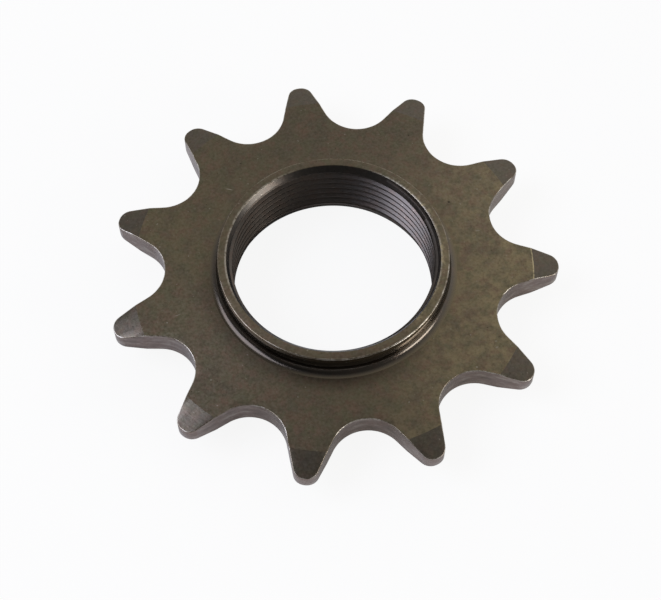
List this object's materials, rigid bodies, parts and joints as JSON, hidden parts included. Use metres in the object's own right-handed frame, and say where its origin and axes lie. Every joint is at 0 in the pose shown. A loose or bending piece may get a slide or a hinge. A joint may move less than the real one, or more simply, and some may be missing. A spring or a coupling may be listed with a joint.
{
  "type": "threaded rear sprocket",
  "caption": "One-piece toothed plate with a raised round collar on each face and a threaded bore; a bicycle's chain drives it and it screws onto the rear hub.",
  "frame": {"origin": "on the axis of the threaded bore, halfway through the toothed plate", "axes": "+Z along the bore's axis, out of the front face; one tooth points along +X"},
  "size_m": [0.0487, 0.0492, 0.0084],
  "materials": {
    "sprocket": "satin dark oxide on turned and hobbed steel"
  },
  "bodies": {
    "root": {"sprocket": "sprocket"}
  },
  "joints": []
}
